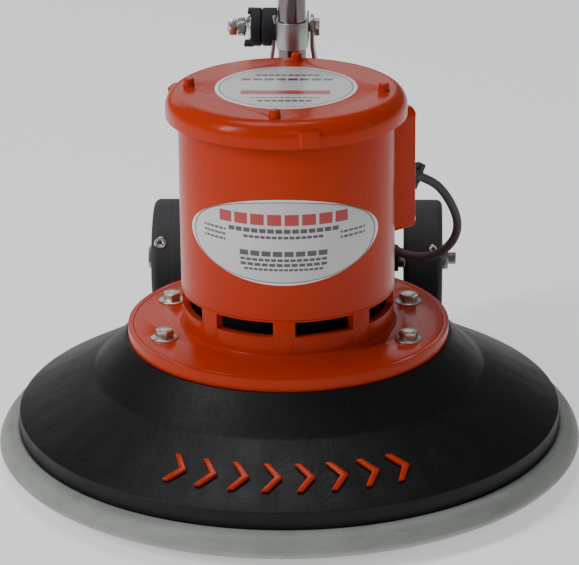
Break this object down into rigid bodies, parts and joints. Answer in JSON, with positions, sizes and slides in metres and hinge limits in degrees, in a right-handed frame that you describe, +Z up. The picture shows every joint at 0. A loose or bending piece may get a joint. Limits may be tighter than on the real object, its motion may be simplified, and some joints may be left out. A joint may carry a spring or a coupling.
{
  "type": "floor burnisher",
  "caption": "Upright single-disc floor burnisher: motor on a round deck with a bumper ring and pad, transport wheels, and a tilting clamp-held T handle.",
  "frame": {"origin": "on the floor, on the motor axis, at the pad lower face", "axes": "+Z up along the motor axis, -Y to the front with the label, +Y to the rear with the wheels and handle, +X to the right seen from the front"},
  "size_m": [0.468, 0.5047, 1.141],
  "materials": {
    "orange_paint": "glossy",
    "deck_black": "satin black paint on a rough casting",
    "bumper_rubber": "satin",
    "pad_fibre": "coarse fibre",
    "driver_plastic": "matt",
    "zinc": "zinc plated",
    "bare_steel": "machined",
    "chrome_tube": "polished",
    "wheel_plastic": "moulded",
    "black_plastic": "moulded",
    "cord_rubber": "matt",
    "label_white": "printed foil",
    "core_steel": "laminated",
    "copper_wire": "varnished",
    "cast_aluminium": "cast",
    "frame_black": "satin",
    "grip_rubber": "ribbed",
    "red_button": "moulded"
  },
  "bodies": {
    "chassis": {"deck_housing": "deck_black", "bumper_ring": "bumper_rubber", "deck_badges": "orange_paint", "motor_flange": "orange_paint", "flange_washers": "zinc", "flange_bolts": "zinc", "motor_shell": "orange_paint", "stator_core": "core_steel", "stator_windings": "copper_wire", "upper_end_bell": "cast_aluminium", "bearing_races": "bare_steel", "top_cover": "orange_paint", "cover_screws": "orange_paint", "top_label": "label_white", "front_label": "label_white", "terminal_box": "orange_paint", "terminal_box_cover": "orange_paint", "terminal_box_screws": "orange_paint", "terminal_block": "driver_plastic", "cable_glands": "black_plastic", "motor_cord": "cord_rubber", "rear_bracket": "frame_black", "bracket_bolts": "zinc", "wheel_arms": "frame_black", "axle": "zinc", "axle_fasteners": "zinc", "pivot_pins": "zinc"},
    "spindle": {"motor_shaft": "bare_steel", "rotor_core": "core_steel", "shaft_key": "bare_steel", "cooling_fan": "cast_aluminium", "bearing_cores": "bare_steel", "drive_hub": "cast_aluminium", "hub_bolts": "zinc", "pad_driver": "driver_plastic", "grip_face": "driver_plastic", "burnishing_pad": "pad_fibre"},
    "left_wheel_body": {"left_wheel": "wheel_plastic", "left_wheel_screw": "zinc"},
    "right_wheel_body": {"right_wheel": "wheel_plastic", "right_wheel_screw": "zinc"},
    "handle": {"handle_socket": "frame_black", "handle_tube": "chrome_tube", "crossbar": "chrome_tube", "grips": "grip_rubber", "switch_box": "driver_plastic", "switch_box_cover": "driver_plastic", "inlet_gland": "black_plastic", "start_capacitor": "cast_aluminium", "trigger_pins": "zinc", "cord_hooks": "frame_black"},
    "collar": {"clamp_collar": "chrome_tube", "cross_bolt": "zinc", "clamp_nuts": "zinc", "clamp_cup": "black_plastic"},
    "lever": {"clamp_lever": "black_plastic"},
    "stay": {"handle_stay": "zinc"},
    "left_trigger_body": {"left_trigger": "cast_aluminium"},
    "right_trigger_body": {"right_trigger": "cast_aluminium"},
    "button": {"safety_button": "red_button"}
  },
  "joints": [
    {"name": "pad_spin", "type": "hinge", "parent": "chassis", "child": "spindle", "pos_m": [0, 0, 0.05], "axis": [0, 0, 1], "continuous": true},
    {"name": "left_wheel_spin", "type": "hinge", "parent": "chassis", "child": "left_wheel_body", "pos_m": [-0.1062, 0.22556, 0.07804], "axis": [1, 0, 0], "continuous": true},
    {"name": "right_wheel_spin", "type": "hinge", "parent": "chassis", "child": "right_wheel_body", "pos_m": [0.1062, 0.22556, 0.07804], "axis": [1, 0, 0], "continuous": true},
    {"name": "handle_tilt", "type": "hinge", "parent": "chassis", "child": "handle", "pos_m": [0, 0.13, 0.15], "axis": [-1, 0, 0], "range_deg": [0, 50]},
    {"name": "collar_slide", "type": "slide", "parent": "handle", "child": "collar", "axis": [0, 0, 1], "range_m": [0, 0.024]},
    {"name": "lever_swing", "type": "hinge", "parent": "collar", "child": "lever", "pos_m": [0, 0.15, 0.304], "axis": [1, 0, 0], "range_deg": [0, 90]},
    {"name": "stay_swing", "type": "hinge", "parent": "chassis", "child": "stay", "pos_m": [0, 0.155, 0.14], "axis": [-1, 0, 0], "range_deg": [0, 51]},
    {"name": "left_trigger_squeeze", "type": "hinge", "parent": "handle", "child": "left_trigger_body", "pos_m": [-0.068, 0.13, 1.072], "axis": [0, 1, 0], "range_deg": [0, 10], "stiffness_Nm_per_rad": 0.5, "springref_deg": -5.73},
    {"name": "right_trigger_squeeze", "type": "hinge", "parent": "handle", "child": "right_trigger_body", "pos_m": [0.068, 0.13, 1.072], "axis": [0, -1, 0], "range_deg": [0, 10], "stiffness_Nm_per_rad": 0.5, "springref_deg": -5.73},
    {"name": "button_press", "type": "slide", "parent": "handle", "child": "button", "axis": [0, -1, 0], "range_m": [0, 0.004], "stiffness_N_per_m": 400, "springref_m": -0.002}
  ],
  "couplings": [
    {"joint": "collar_slide", "follows": "handle_tilt", "m_per_rad": 0.02607},
    {"joint": "stay_swing", "follows": "handle_tilt", "ratio": 0.997}
  ]
}
